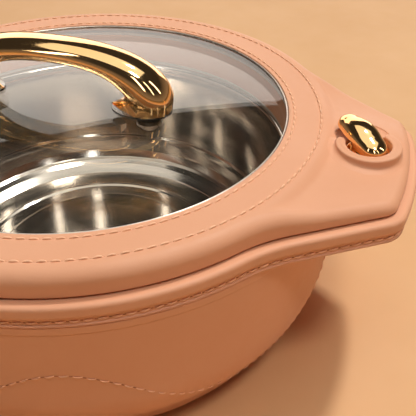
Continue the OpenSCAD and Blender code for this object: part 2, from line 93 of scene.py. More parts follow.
def quarter_outline():
    """The outline from the tip's middle on +X to +Y, and its outward normals."""
    corner_deg = 90 - SIDE_DEG
    side_out = direction(corner_deg)
    side_dir = direction(-SIDE_DEG)
    corner_c = (TIP_R - CORNER_R) * direction(WING_HALF)
    start = corner_c + (CORNER_R + HOLLOW_R) * side_out
    along = start @ side_dir
    run = along - math.sqrt(along ** 2 - start @ start + (RIM_R + HOLLOW_R) ** 2)
    hollow_c = start - run * side_dir
    round_deg = math.degrees(math.atan2(hollow_c[1], hollow_c[0]))
    side_from = corner_c + CORNER_R * side_out
    side_to = side_from - run * side_dir
    steps = np.linspace(0, 1, 7)[1:, None]
    tip, tip_out = arc(np.zeros(2), TIP_R, 0, WING_HALF, 14)
    corner, corner_out = arc(corner_c, CORNER_R, WING_HALF, corner_deg, 12)
    side = side_from + steps * (side_to - side_from)
    hollow, hollow_in = arc(hollow_c, HOLLOW_R, corner_deg + 180, round_deg + 180, 14)
    rim, rim_out = arc(np.zeros(2), RIM_R, round_deg, 90, 44)
    points = np.concatenate([[[TIP_R, 0]], tip, corner, side, hollow, rim])
    outs = np.concatenate([[[1, 0]], tip_out, corner_out, np.tile(side_out, (6, 1)), -hollow_in, rim_out])
    return points, outs


def whole_outline():
    quarter = quarter_outline()
    whole = []
    for q in quarter:
        back = q[::-1]
        whole.append(np.concatenate([
            q, back[1:] * [-1, 1], q[1:] * [-1, -1], back[1:-1] * [1, -1],
        ]))
    return whole


OUTLINE, OUT_N = whole_outline()
OUTLINE_R = np.hypot(OUTLINE[:, 0], OUTLINE[:, 1])
OUTLINE_DIR = OUTLINE / OUTLINE_R[:, None]


def smooth_step(x):
    x = np.clip(x, 0, 1)
    return x * x * (3 - 2 * x)


# Outer edge of the lid at each column, and how much of the column belongs to a wing
LID_EDGE = OUTLINE - LEDGE_W * OUT_N
LID_EDGE_R = np.hypot(LID_EDGE[:, 0], LID_EDGE[:, 1])
WING_SHARE = smooth_step((LID_EDGE_R - (RIM_R - LEDGE_W) - 0.2) / 13)


def raised(xy, z):
    """Points xy with the heights z, which is a number or one for each."""
    return np.column_stack([xy, np.broadcast_to(z, len(xy))])


def plan_row(inset, z):
    return raised(OUTLINE - inset * OUT_N, z)


def round_row(radius, z):
    return raised(radius * OUTLINE_DIR, z)


def rows_between(a, b, count):
    return [a + (b - a) * t for t in np.linspace(0, 1, count + 2)[1:-1]]


def rounded(corners, closed=True, steps=4):
    """A line through corners (x, z, radius), each rounded by about its radius."""
    line = []
    total = len(corners)
    for i, (x, z, radius) in enumerate(corners):
        here = np.array([x, z], float)
        if radius <= 0 or (not closed and i in (0, total - 1)):
            line.append(here)
            continue
        to_before = np.array(corners[i - 1][:2], float) - here
        to_after = np.array(corners[(i + 1) % total][:2], float) - here
        room = [np.linalg.norm(to_before), np.linalg.norm(to_after)]
        cosine = to_before @ to_after / (room[0] * room[1])
        half = 0.5 * math.acos(max(-1, min(1, cosine)))
        cut = min(radius / math.tan(half), 0.48 * room[0], 0.48 * room[1])
        a = here + to_before / room[0] * cut
        b = here + to_after / room[1] * cut
        for t in np.linspace(0, 1, steps + 1):
            line.append((1 - t) ** 2 * a + 2 * t * (1 - t) * here + t * t * b)
    return line


# ---- meshes ----

def new_object(name, verts, faces):
    mesh = bpy.data.meshes.new(name)
    mesh.from_pydata([tuple(v) for v in verts], [], faces)
    obj = bpy.data.objects.new(name, mesh)
    bpy.context.scene.collection.objects.link(obj)
    return obj


def tidy_mesh(obj, sharp_deg=50):
    """Merges equal points, turns the faces outward and shades them smooth up to an angle."""
    bm = bmesh.new()
    bm.from_mesh(obj.data)
    bmesh.ops.remove_doubles(bm, verts=bm.verts, dist=2e-6)
    bmesh.ops.dissolve_degenerate(bm, edges=bm.edges, dist=1e-7)
    bmesh.ops.recalc_face_normals(bm, faces=bm.faces)
    bm.to_mesh(obj.data)
    bm.free()
    obj.data.polygons.foreach_set("use_smooth", [True] * len(obj.data.polygons))
    obj.data.set_sharp_from_angle(angle=math.radians(sharp_deg))
    return obj


def grid_faces(rows, count, closed_rows):
    """Faces between rows of count points, each row closed on itself."""
    faces = []
    for i in range(rows if closed_rows else rows - 1):
        a = i * count
        b = ((i + 1) % rows) * count
        for k in range(count):
            n = (k + 1) % count
            faces.append((a + k, a + n, b + n, b + k))
    return faces


def skin(name, rows, closed=True, caps=False, sharp_deg=50):
    """A mesh through rows of points in millimetres, each once round the piece."""
    count = len(rows[0])
    faces = grid_faces(len(rows), count, closed)
    if caps:
        faces.append(tuple(range(count)))
        faces.append(tuple((len(rows) - 1) * count + k for k in range(count)))
    return tidy_mesh(new_object(name, np.concatenate(rows) * MM, faces), sharp_deg)


def turned(name, line, center=(0.0, 0.0), segments=192, closed=True, sharp_deg=50):
    """A mesh turned from a line of (radius, height), closed round its section."""
    around = direction(np.arange(segments) * 360 / segments)
    rows = [raised(max(r, 0.0) * around + np.array(center), z) for r, z in line]
    return skin(name, rows, closed, False, sharp_deg)


def cut(obj, cutter):
    """Takes cutter out of obj and removes it."""
    mod = obj.modifiers.new("cut", "BOOLEAN")
    mod.operation = "DIFFERENCE"
    mod.solver = "EXACT"
    mod.object = cutter
    graph = bpy.context.evaluated_depsgraph_get()
    mesh = bpy.data.meshes.new_from_object(obj.evaluated_get(graph))
    obj.modifiers.clear()
    obj.data = mesh
    bpy.data.objects.remove(cutter)
    obj.data.set_sharp_from_angle(angle=math.radians(40))


def even_normals(obj):
    """Lets large faces lead the shading next to small rounded edges."""
    mod = obj.modifiers.new("even", "WEIGHTED_NORMAL")
    mod.keep_sharp = True
    mod.weight = 80


def finish_piece(obj, body, slot, material, *replaced):
    obj.data.materials.clear()
    obj.data.materials.append(material)
    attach(obj, body)
    if replaced:
        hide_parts(*replaced)
    return obj


# ---- materials ----

def new_material(name):
    mat = bpy.data.materials.new(name)
    mat.use_nodes = True
    tree = mat.node_tree
    tree.nodes.clear()
    out = tree.nodes.new("ShaderNodeOutputMaterial")
    shader = tree.nodes.new("ShaderNodeBsdfPrincipled")
    tree.links.new(shader.outputs[0], out.inputs["Surface"])
    return mat, tree, shader, out


def place(tree):
    return tree.nodes.new("ShaderNodeTexCoord").outputs["Object"]


def noise(tree, where, scale, detail, rough=0.55):
    node = tree.nodes.new("ShaderNodeTexNoise")
    node.inputs["Scale"].default_value = scale
    node.inputs["Detail"].default_value = detail
    node.inputs["Roughness"].default_value = rough
    tree.links.new(where, node.inputs["Vector"])
    return node.outputs["Fac"]


def ramp(tree, value, low, high, low_at=0.3, high_at=0.7):
    node = tree.nodes.new("ShaderNodeValToRGB")
    node.color_ramp.elements[0].position = low_at
    node.color_ramp.elements[1].position = high_at
    node.color_ramp.elements[0].color = (*low, 1)
    node.color_ramp.elements[1].color = (*high, 1)
    tree.links.new(value, node.inputs[0])
    return node.outputs[0]


def spread(tree, value, low, high):
    node = tree.nodes.new("ShaderNodeMapRange")
    node.inputs["From Min"].default_value = 0.3
    node.inputs["From Max"].default_value = 0.7
    node.inputs["To Min"].default_value = low
    node.inputs["To Max"].default_value = high
    tree.links.new(value, node.inputs["Value"])
    return node.outputs[0]


def bump(tree, height, strength, distance, under=None):
    node = tree.nodes.new("ShaderNodeBump")
    node.inputs["Strength"].default_value = strength
    node.inputs["Distance"].default_value = distance
    tree.links.new(height, node.inputs["Height"])
    if under is not None:
        tree.links.new(under, node.inputs["Normal"])
    return node.outputs[0]


def peach_material(name, tone=1.0):
    """Soft-touch moulding with a faint leather grain and slight shifts of colour."""
    mat, tree, shader, _ = new_material(name)
    where = place(tree)
    low = tuple(tone * c for c in PEACH_DEEP)
    high = tuple(tone * c for c in PEACH_LIGHT)
    tree.links.new(ramp(tree, noise(tree, where, 26, 4), low, high), shader.inputs["Base Color"])
    tree.links.new(spread(tree, noise(tree, where, 240, 3), 0.46, 0.58), shader.inputs["Roughness"])
    grain = tree.nodes.new("ShaderNodeTexVoronoi")
    grain.feature = "SMOOTH_F1"
    grain.inputs["Scale"].default_value = 1300
    tree.links.new(where, grain.inputs["Vector"])
    first = bump(tree, grain.outputs["Distance"], 0.10, 0.0002)
    second = bump(tree, noise(tree, where, 60, 2), 0.05, 0.001, first)
    tree.links.new(second, shader.inputs["Normal"])
    shader.inputs["Specular IOR Level"].default_value = 0.3
    shader.inputs["Sheen Weight"].default_value = 0.08
    shader.inputs["Sheen Roughness"].default_value = 0.4
    return mat


def gold_material():
    mat, tree, shader, _ = new_material("gold_polished")
    where = place(tree)
    blend = noise(tree, where, 40, 3)
    tree.links.new(ramp(tree, blend, GOLD_DEEP, GOLD_LIGHT), shader.inputs["Base Color"])
    tree.links.new(spread(tree, noise(tree, where, 700, 4), 0.05, 0.10), shader.inputs["Roughness"])
    tree.links.new(bump(tree, noise(tree, where, 110, 2), 0.02, 0.001), shader.inputs["Normal"])
    shader.inputs["Metallic"].default_value = 1.0
    return mat


def spun_steel_material():
    """Polished steel with fine lines that run round the bowl, as from spinning."""
    mat, tree, shader, _ = new_material("steel_spun")
    where = place(tree)
    split = tree.nodes.new("ShaderNodeSeparateXYZ")
    tree.links.new(where, split.inputs[0])
    flat = tree.nodes.new("ShaderNodeCombineXYZ")
    tree.links.new(split.outputs["X"], flat.inputs["X"])
    tree.links.new(split.outputs["Y"], flat.inputs["Y"])
    length = tree.nodes.new("ShaderNodeVectorMath")
    length.operation = "LENGTH"
    tree.links.new(flat.outputs[0], length.inputs[0])
    lines = tree.nodes.new("ShaderNodeCombineXYZ")
    tree.links.new(length.outputs["Value"], lines.inputs["X"])
    tree.links.new(split.outputs["Z"], lines.inputs["Y"])
    fine = noise(tree, lines.outputs[0], 450, 2, 0.5)
    broad = noise(tree, lines.outputs[0], 160, 3)
    tree.links.new(spread(tree, broad, 0.11, 0.16), shader.inputs["Roughness"])
    tree.links.new(ramp(tree, broad, STEEL_DEEP, STEEL_LIGHT), shader.inputs["Base Color"])
    tree.links.new(bump(tree, fine, 0.01, 0.0001), shader.inputs["Normal"])
    shader.inputs["Metallic"].default_value = 1.0
    return mat


def screw_steel_material():
    mat, tree, shader, _ = new_material("steel_plain")
    where = place(tree)
    shade = ramp(tree, noise(tree, where, 300, 3), STEEL_DEEP, STEEL_LIGHT)
    tree.links.new(shade, shader.inputs["Base Color"])
    tree.links.new(spread(tree, noise(tree, where, 900, 3), 0.25, 0.38), shader.inputs["Roughness"])
    shader.inputs["Metallic"].default_value = 1.0
    return mat


def glass_material():
    """Clear pane: what is behind it shows through, and its gloss grows at low angles."""
    mat, tree, shader, out = new_material("glass_clear")
    where = place(tree)
    shader.inputs["Base Color"].default_value = (0.9, 0.94, 0.94, 1)
    shader.inputs["Metallic"].default_value = 1.0
    tree.links.new(spread(tree, noise(tree, where, 30, 2), 0.0, 0.03), shader.inputs["Roughness"])
    weight = tree.nodes.new("ShaderNodeLayerWeight")
    weight.inputs["Blend"].default_value = 0.5
    power = tree.nodes.new("ShaderNodeMath")
    power.operation = "POWER"
    power.inputs[1].default_value = 5.0
    tree.links.new(weight.outputs["Facing"], power.inputs[0])
    share = tree.nodes.new("ShaderNodeMapRange")
    share.inputs["To Min"].default_value = 0.045
    share.inputs["To Max"].default_value = 1.0
    tree.links.new(power.outputs[0], share.inputs["Value"])
    clear = tree.nodes.new("ShaderNodeBsdfTransparent")
    clear.inputs["Color"].default_value = (0.97, 0.975, 0.97, 1)
    mix = tree.nodes.new("ShaderNodeMixShader")
    tree.links.new(share.outputs[0], mix.inputs[0])
    tree.links.new(clear.outputs[0], mix.inputs[1])
    tree.links.new(shader.outputs[0], mix.inputs[2])
    tree.links.new(mix.outputs[0], out.inputs["Surface"])
    return mat


def soft_material(name, low, high, rough_low, rough_high, grain, depth):
    mat, tree, shader, _ = new_material(name)
    where = place(tree)
    tree.links.new(ramp(tree, noise(tree, where, grain * 0.4, 4), low, high), shader.inputs["Base Color"])
    value = spread(tree, noise(tree, where, grain, 3), rough_low, rough_high)
    tree.links.new(value, shader.inputs["Roughness"])
    tree.links.new(bump(tree, noise(tree, where, grain, 5), depth, 0.0004), shader.inputs["Normal"])
    return mat


def clear_rubber_material():
    mat, tree, shader, _ = new_material("rubber_clear")
    where = place(tree)
    tree.links.new(
        ramp(tree, noise(tree, where, 200, 3), (0.93, 0.93, 0.91), (0.98, 0.98, 0.96)),
        shader.inputs["Base Color"],
    )
    shader.inputs["Roughness"].default_value = 0.1
    shader.inputs["Transmission Weight"].default_value = 0.95
    shader.inputs["IOR"].default_value = 1.41
    return mat


PEACH_LIGHT = (0.80, 0.408, 0.242)
PEACH_DEEP = (0.77, 0.38, 0.218)
THREAD_LIGHT = (0.96, 0.57, 0.35)
THREAD_DEEP = (0.90, 0.49, 0.29)
# Painted shade for the stitch holes, which are flat dark discs; the soft pair is a lighter painted shade for
# the lid's ring
HOLE_SHADE_LIGHT = (0.52, 0.21, 0.11)
HOLE_SHADE_DEEP = (0.38, 0.13, 0.06)
HOLE_SHADE_SOFT_LIGHT = (0.66, 0.30, 0.17)
HOLE_SHADE_SOFT_DEEP = (0.56, 0.24, 0.13)
GOLD_LIGHT = (1.0, 0.69, 0.34)
GOLD_DEEP = (0.96, 0.59, 0.25)
STEEL_LIGHT = (0.74, 0.68, 0.61)
STEEL_DEEP = (0.60, 0.55, 0.49)

PEACH = peach_material("peach_soft")
PEACH_IN = peach_material("peach_inner", 0.95)
GOLD = gold_material()
STEEL = spun_steel_material()
PLAIN_STEEL = screw_steel_material()
GLASS = glass_material()
THREAD = soft_material("thread_peach", THREAD_DEEP, THREAD_LIGHT, 0.55, 0.75, 2500, 0.4)
# Stitch-hole materials: their dark colour is painted shade standing in for the depth of the holes
HOLE_SHADE = soft_material("hole_painted_shade", HOLE_SHADE_DEEP, HOLE_SHADE_LIGHT, 0.7, 0.9, 2500, 0.2)
HOLE_SHADE_SOFT = soft_material("hole_painted_shade_soft", HOLE_SHADE_SOFT_DEEP, HOLE_SHADE_SOFT_LIGHT, 0.7, 0.9, 2500, 0.2)
RUBBER = soft_material("rubber_grey", (0.045, 0.045, 0.05), (0.085, 0.085, 0.09), 0.55, 0.75, 600, 0.2)
SEAL = soft_material("seal_pale", (0.62, 0.56, 0.50), (0.72, 0.66, 0.60), 0.4, 0.55, 500, 0.1)
FOAM = soft_material("foam_cream", (0.72, 0.64, 0.46), (0.84, 0.77, 0.60), 0.85, 0.95, 900, 0.5)
CLEAR_RUBBER = clear_rubber_material()


# ---- base ----

# The shell: its draft, the bend to the flared bottom, and its seams
SHELL_TOP_R = 126.0
DRAFT = 1.5
FLARE = 36.0
BEND_R = 40.0
BEND_Z = 42.0
BEND_TOP_R = SHELL_TOP_R - math.tan(math.radians(DRAFT)) * (BAND_LOW_Z - BEND_Z)
BEND_C = (
    BEND_TOP_R - BEND_R * math.cos(math.radians(DRAFT)),
    BEND_Z + BEND_R * math.sin(math.radians(DRAFT)),
)
SHELL_Z = 1.0
EDGE_R = 10.0
BAND_INSET = 0.7
WING_SCREW_OUT = 9.0
WING_SCREW_Y = 18.6
SLOT_HALF = (3.5, 7.9)
COVER_HOLE_R = 70.25
SHELL_LINE_Z = 82.6


def shell_side_r(z):
    """Outer radius of the bowl-shaped shell at height z."""
    if z >= BEND_Z:
        return SHELL_TOP_R - math.tan(math.radians(DRAFT)) * (BAND_LOW_Z - z)
    sine = min((BEND_C[1] - z) / BEND_R, math.sin(math.radians(FLARE)))
    end_z = BEND_C[1] - BEND_R * math.sin(math.radians(FLARE))
    radius = BEND_C[0] + BEND_R * math.sqrt(1 - sine ** 2)
    return radius - max(0.0, end_z - z) * math.tan(math.radians(FLARE))


def build_shell():
    band = rounded([
        (3.2, 91.45, 0), (BAND_INSET, 91.45, 0.35), (BAND_INSET, 90.55, 0.3), (1.45, 90.15, 0.35),
        (1.45, 87.75, 0.35), (BAND_INSET, 87.35, 0.3), (BAND_INSET + 0.02, 86.75, 0.5), (1.35, 86.45, 0),
    ], closed=False)
    rows = [plan_row(inset, z) for inset, z in band]
    root = round_row(RIM_R - 1.35, 86.45)
    rows += rows_between(rows[-1], root, 7)
    rows.append(root)
    heights = [86.1, 85.4, 84.4, 83.4, SHELL_LINE_Z + 0.25, SHELL_LINE_Z]
    lower = [SHELL_LINE_Z - 0.35, SHELL_LINE_Z - 0.8, 80, 76, 71, 66, 61, 56, 51, 46.5]
    rows += [round_row(shell_side_r(z) + 0.02, z) for z in heights]
    rows += [round_row(shell_side_r(z) - 0.25, z) for z in lower]
    for z in (43, 40, 37, 34, 31, 28, 25, 22, 19.6, 16, 12):
        rows.append(round_row(shell_side_r(z) - 0.1, z))
    edge_c = shell_side_r(SHELL_Z + EDGE_R) - EDGE_R * 0.95
    for a in np.linspace(FLARE, 90, 9)[1:]:
        corner = np.array([edge_c, SHELL_Z + EDGE_R]) + EDGE_R * direction(-a)
        rows.append(round_row(*corner))
    inside = [(90, SHELL_Z), (80, SHELL_Z), (COVER_HOLE_R + 0.3, SHELL_Z), (COVER_HOLE_R, SHELL_Z + 0.3),
              (COVER_HOLE_R, 3.0), (62.0, 3.0), (62.0, 4.6), (90.0, 4.6), (104.0, 14.0), (120.0, 38.0),
              (122.5, 60.0), (123.4, 86.0)]
    rows += [round_row(r, z) for r, z in inside]
    rows.append(plan_row(3.25, 89.3))
    shell = skin("shell_moulding", rows)
    for turn in LOCK_TURN.values():
        for y in (-WING_SCREW_Y, WING_SCREW_Y):
            at = direction(turn) * (LOCK_X + WING_SCREW_OUT) + direction(turn + 90) * y
            hole = rounded([(0, 80, 0), (3.1, 80, 0), (3.1, 88.1, 0.3), (0, 88.1, 0)], closed=False)
            cut(shell, turned("hole", hole, at, 24, False))
    even_normals(shell)
    finish_piece(shell, "base", "peach_plastic", PEACH, "outer_shell")


def build_rim():
    """The rim with its ledge, both wings and the seat of the steel bowl."""
    top = rounded([(7.0, LEDGE_Z, 0), (0.05, LEDGE_Z, 2.3), (0.0, SPLIT_Z + 0.75, 0.4), (0.3, SPLIT_Z, 0.25),
                   (2.5, SPLIT_Z, 0.3), (2.5, PLATE_UNDER_Z, 0.4)], closed=False, steps=6)
    seat = rounded([(106.8, PLATE_UNDER_Z, 0.5), (106.8, 77.1, 0.4), (100.1, 77.1, 0.4), (100.1, 79.1, 0.4),
                    (104.35, 79.1, 0.3), (104.35, LEDGE_Z, 0.8), (110.0, LEDGE_Z, 0)])
    rows = [plan_row(inset, z) for inset, z in top]
    seat_rows = [round_row(r, z) for r, z in seat]
    rows += rows_between(rows[-1], seat_rows[0], 3) + seat_rows
    rows += rows_between(seat_rows[-1], rows[0], 5)
    rim = skin("rim_moulding", rows)
    x, y = SLOT_HALF
    slot_line = rounded([(-x, -y, 0.6), (x, -y, 0.6), (x, y, 0.6), (-x, y, 0.6)])
    for turn in LOCK_TURN.values():
        at = direction(turn) * LOCK_X
        ring = np.array(slot_line) + at
        widths = [1.06, 1.0, 1.0]
        heights = [LEDGE_Z + 0.5, LEDGE_Z - 0.3, 90.0]
        rings = [raised(at + (ring - at) * w, z) for w, z in zip(widths, heights)]
        cut(rim, skin("slot", rings, False, True))
    even_normals(rim)
    finish_piece(rim, "base", "peach_plastic", PEACH, "rim_collar")


def build_bowl():
    """The steel bowl: spun wall, rings near its bottom and a rolled edge."""
    inside = rounded([
        (0, 14.2, 0), (30, 14.2, 0), (56.6, 14.2, 1.2), (58.2, 13.2, 1.2), (66.5, 13.1, 0.6),
        (67.7, 13.9, 0.8), (69.4, 13.9, 0.8), (70.6, 13.1, 0.6), (76.0, 13.1, 3), (81.5, 13.7, 4),
        (87.0, 17.0, 5), (89.5, 19.2, 1.0), (91.6, 20.0, 1.0), (94.0, 24.5, 3), (95.0, 30.0, 3),
        (95.3, 33.6, 0.8), (96.2, 34.8, 0.8), (96.5, 40.0, 1), (98.8, 76.0, 3),
    ], closed=False, steps=5)
    inside.append(np.array([99.0, 79.8]))
    roll_c = np.array([101.6, 81.3])
    roll = [roll_c + 2.2 * direction(a) for a in np.linspace(196, -80, 22)]
    outside = [roll_c + 1.5 * direction(a) for a in np.linspace(-80, 150, 12)]
    lower = [np.array([r, z]) for r, z in [(99.9, 80.2), (97.3, 40.0), (96.9, 34.0), (95.8, 28.0)]]
    under = [np.array([80 + 16.6 * math.sin(a), 29 - 16.6 * math.cos(a)]) for a in np.linspace(1.45, 0, 8)]
    bottom = [np.array([r, z]) for r, z in [(70.6, 12.2), (58.6, 12.2), (57, 13.3), (0, 13.3)]]
    line = inside + roll + outside + lower + under + bottom
    bowl = turned("bowl_steel", line, segments=256, closed=False, sharp_deg=70)
    finish_piece(bowl, "base", "stainless_steel", STEEL, "inner_bowl")


# ---- lid ----

def groove(r, at):
    return GROOVE_DEPTH * np.exp(-((r - at) / 0.62) ** 2)


def smooth_max(a, b, k):
    h = np.clip(0.5 + 0.5 * (a - b) / k, 0, 1)
    return b + (a - b) * h + k * h * (1 - h)


def roll_off(x, radius):
    """Drop of a rounded edge x past its start, straight on past most of its radius."""
    x = np.maximum(x, 0)
    bend = 0.9 * radius
    inner = np.minimum(x, bend)
    slope = bend / math.sqrt(radius ** 2 - bend ** 2)
    return radius - np.sqrt(radius ** 2 - inner ** 2) + slope * (x - inner)


def edge_drop(inset, radius):
    """Drop of a rounded edge at inset from it."""
    x = np.clip((radius - inset) / radius, 0, 1)
    return radius * (1 - np.sqrt(1 - x * x))


# Rise of the wing at each lock, and the lid's rounded edges
RISE_DEG = 80.0
RISE_SPAN = 100.0
RISE_H = 3.0
EDGE_ROUND = 5.6
EDGE_WING = 3.8
LID_WALL = 2.4
RISE_FROM_R = 14.0
RISE_OVER = 26.0


def lock_rise(xy):
    """The wing rises towards the open side of each lock's collar."""
    rise = np.zeros(len(xy))
    for turn in LOCK_TURN.values():
        away = xy - LOCK_X * direction(turn)
        along = away @ direction(turn)
        sideways = away @ direction(turn + 90)
        angle = np.degrees(np.arctan2(sideways, along))
        facing = np.cos(np.radians(np.clip((angle - RISE_DEG) * 90 / RISE_SPAN, -90, 90))) ** 2
        near = 1 - smooth_step((np.hypot(along, sideways) - RISE_FROM_R) / RISE_OVER)
        rise += RISE_H * facing * near
    return rise


def wing_height(xy):
    """Height of a wing's top at points xy, with the ring's soft shoulder, without the edge."""
    r = np.hypot(xy[:, 0], xy[:, 1])
    ring = RING_Z - roll_off(r - RING_FLAT_R, ROLL_R)
    plane = WING_ROOT_Z - WING_SLOPE * (r - WING_ROOT_R) + lock_rise(xy)
    return smooth_max(ring, plane, 2.0)


def lid_row(xy, inset):
    """The lid's top at points xy, one for each column, inset from the lid's edge."""
    r = np.hypot(xy[:, 0], xy[:, 1])
    round_z = RING_Z - edge_drop(inset, EDGE_ROUND)
    wing_z = wing_height(xy) - edge_drop(inset, EDGE_WING)
    z = round_z + (wing_z - round_z) * WING_SHARE
    return raised(xy, z - groove(r, INNER_STITCH_R) - groove(r, OUTER_STITCH_R))


# Edge of the shallow dish round each lever, by angle from the wing's direction
DISH_DEG = (0, 20, 37, 55, 71, 90, 110, 130, 150, 170, 190, 360)
DISH_R = (12.4, 12.8, 13.7, 15.9, 18.2, 20.2, 21.0, 20.4, 18.0, 14.6, 12.4, 12.4)
WING_FROM_R = 118.0
UNDER_R = 112.0
UNDER_GAP = 0.6
DISH_ROWS = ((0.6, 104.9), (0.88, 105.25), (0.96, 105.45), (0.99, 105.75), (1.0, 106.2), (1.02, 112.0))


def build_lid():
    """The lid's moulding: stitched ring, wings and the recesses of both locks."""
    lip = rounded([(106.0, 99.1, 0.3), (104.35, 99.1, 0.3), (104.35, PANE_EDGE_Z, 0.2),
                   (WINDOW_R, PANE_EDGE_Z, 0.2), (WINDOW_R, RING_Z, 0.7), (101.6, RING_Z, 0)], closed=False)
    rows = [round_row(r, z) for r, z in lip[:-1]]
    marks = (-1.3, -0.8, -0.45, 0, 0.45, 0.8, 1.3)
    rings = [INNER_STITCH_R + d for d in marks] + [105.5, 108.0, 110.5, 112.5]
    rings += [OUTER_STITCH_R + d for d in marks] + [117.0, 117.6]
    for r in rings:
        rows.append(lid_row(r * OUTLINE_DIR, LID_EDGE_R - r))
    outer = OUTLINE - (LEDGE_W + 4.6) * OUT_N
    inner = WING_FROM_R * OUTLINE_DIR
    for t in np.linspace(0, 1, 24) ** 1.35:
        inset = LID_EDGE_R - WING_FROM_R
        rows.append(lid_row(inner + (outer - inner) * t, inset + (4.6 - inset) * t))
    for inset in (4.2, 3.7, 3.1, 2.5, 1.9, 1.4, 0.95, 0.6, 0.34, 0.16, 0.05, 0.0):
        rows.append(lid_row(OUTLINE - (LEDGE_W + inset) * OUT_N, inset))
    crest = rows[-1]
    foot = plan_row(LEDGE_W - 0.05, LID_EDGE_Z + 0.5)
    rows += rows_between(crest, foot, 3)
    for inset, z in rounded([(-0.05, 99.5, 0), (0.0, LID_EDGE_Z, 0.45), (LID_WALL, LID_EDGE_Z, 0.3),
                             (LID_WALL, 99.5, 0)], closed=False)[1:]:
        rows.append(plan_row(LEDGE_W + inset, z))
    for inset in (2.5, 3.4, 4.6):
        under = lid_row(OUTLINE - (LEDGE_W + inset) * OUT_N, inset + LID_WALL)
        under[:, 2] = np.maximum(under[:, 2] - LID_WALL - UNDER_GAP, 98.9)
        rows.append(under)
    last = rows[-1]
    near = lid_row(UNDER_R * OUTLINE_DIR, 30.0)
    near[:, 2] = RING_Z - LID_WALL - UNDER_GAP
    for t in np.linspace(0, 1, 8)[1:-1]:
        part = lid_row(last[:, :2] + (near[:, :2] - last[:, :2]) * t, 5.0 + 25.0 * t)
        part[:, 2] -= LID_WALL + UNDER_GAP
        rows.append(part)
    rows.append(near)
    rows.append(round_row(106.0, 105.2))
    lid = skin("lid_moulding", rows)
    for turn in LOCK_TURN.values():
        at = direction(turn) * LOCK_X
        well = [(0, 95.0), (3.05, 95.0), (3.05, 103.1), (9.6, 103.1), (10.5, 103.5), (10.8, 104.1)]
        well += [(11.0, 104.8), (11.7, 105.3), (12.6, 105.5), (12.8, 112.0), (0, 112.0)]
        cut(lid, turned("well", well, at, 64, False))
        angles = np.arange(0, 360, 4)
        reach = np.interp(angles, DISH_DEG, DISH_R)[:, None] * direction(turn + angles)
        cut(lid, skin("dish", [raised(at + reach * share, z) for share, z in DISH_ROWS], False, True))
    even_normals(lid)
    finish_piece(lid, "lid", "peach_plastic", PEACH, "lid_frame")
    for side, turn in LOCK_TURN.items():
        boss = rounded([(3.1, 98.5, 0.2), (6.5, 98.5, 0.5), (6.9, 102.4, 0), (3.1, 102.4, 0)])
        piece = turned("lock_boss_" + side, boss, direction(turn) * LOCK_X, 48)
        finish_piece(piece, "lid", "peach_plastic", PEACH)


COLLAR_MID_R = 12.25
COLLAR_HALF = 2.25
COLLAR_FROM = 176.0
COLLAR_TO = 407.0

# The collar's section: offset from its middle line and drop, then flare and height over the wing
COLLAR_TOP = ((0.02, 0), (0.8, 0.0), (1.35, 0.0), (1.7, 0.06), (1.98, 0.24), (2.16, 0.5), (2.25, 0.9))
COLLAR_SKIRT = ((0.08, 2.3), (0.25, 1.7), (0.6, 1.15), (1.2, 0.7), (2.2, 0.32), (3.5, 0.08), (4.8, -0.25))


def collar_ring(at, turn, offset, flare):
    """The collar's plan drawn out by offset, and by flare more on its outside only."""
    first = turn + COLLAR_FROM
    last = turn + COLLAR_TO
    angles = np.linspace(first, last, 60)
    tipward = np.maximum(0, np.cos(np.radians(angles - turn)))
    spread_out = flare * (1 - 0.5 * tipward)
    outer = at + (COLLAR_MID_R + offset + spread_out)[:, None] * direction(angles)
    inner = at + (COLLAR_MID_R - offset) * direction(np.linspace(last, first, 60))
    caps = []
    for deg, start in ((last, last), (first, first + 180)):
        center = at + COLLAR_MID_R * direction(deg)
        angles = np.linspace(start, start + 180, 15)[1:-1]
        share = np.linspace(1, 0, 15)[1:-1] if start == last else np.linspace(0, 1, 15)[1:-1]
        room = flare * (1 - 0.5 * max(0, math.cos(math.radians(deg - turn))))
        caps.append(center + (offset + room * smooth_step(share))[:, None] * direction(angles))
    return np.concatenate([outer, caps[0], inner, caps[1]])


def build_collars():
    """The raised open collars, which flow into the wings with a soft fillet."""
    for side, turn in LOCK_TURN.items():
        at = direction(turn) * LOCK_X
        rows = [raised(collar_ring(at, turn, o, 0), RING_Z - drop) for o, drop in COLLAR_TOP]
        for flare, above in COLLAR_SKIRT:
            ring = collar_ring(at, turn, COLLAR_HALF, flare)
            ground = wing_height(ring)
            ground = np.where(np.hypot(*(ring - at).T) < 10.4, 103.1, ground)
            rows.append(raised(ring, np.minimum(ground + above, RING_Z - 1.1)))
        rows.append(raised(collar_ring(at, turn, 1.2, 0), 102.6))
        rows.append(raised(collar_ring(at, turn, 0.02, 0), 102.6))
        piece = skin("lock_collar_" + side, rows)
        even_normals(piece)
        finish_piece(piece, "lid", "peach_plastic", PEACH)


def build_pane():
    """The domed pane with ground edges and the holes of the handle's screws."""
    radii = np.linspace(0, DOME_R, 34)
    top = [(r, PANE_EDGE_Z + PANE_RISE * (1 - (r / DOME_R) ** 2)) for r in radii]
    low = [(r, z - PANE_T) for r, z in top[::-1]]
    edge = rounded([(101, PANE_EDGE_Z - 0.02, 0), (PANE_R, PANE_EDGE_Z - 0.02, 0.8),
                    (PANE_R, PANE_EDGE_Z - PANE_T, 0.8), (101, PANE_EDGE_Z - PANE_T, 0)], closed=False)
    pane = turned("window_glass", top + list(edge) + low, segments=224, closed=False)
    for x in (HANDLE_MID_X - HANDLE_SCREW_X, HANDLE_MID_X + HANDLE_SCREW_X):
        hole = [(0, 95), (3.05, 95), (3.05, 115), (0, 115)]
        cut(pane, turned("hole", hole, (x, 0), 32, False))
    finish_piece(pane, "lid", "clear_glass", GLASS, "window_pane")
    bead = [np.array([99.45, PANE_EDGE_Z + 0.25]) + 0.5 * direction(a) for a in range(0, 360, 30)]
    trim = turned("window_trim", bead, segments=224, sharp_deg=80)
    finish_piece(trim, "lid", "stainless_steel", PLAIN_STEEL)


LINER_TOP_Z = 101.3
LINER_SCREW_R = 113.0
LINER_SCREWS = 6


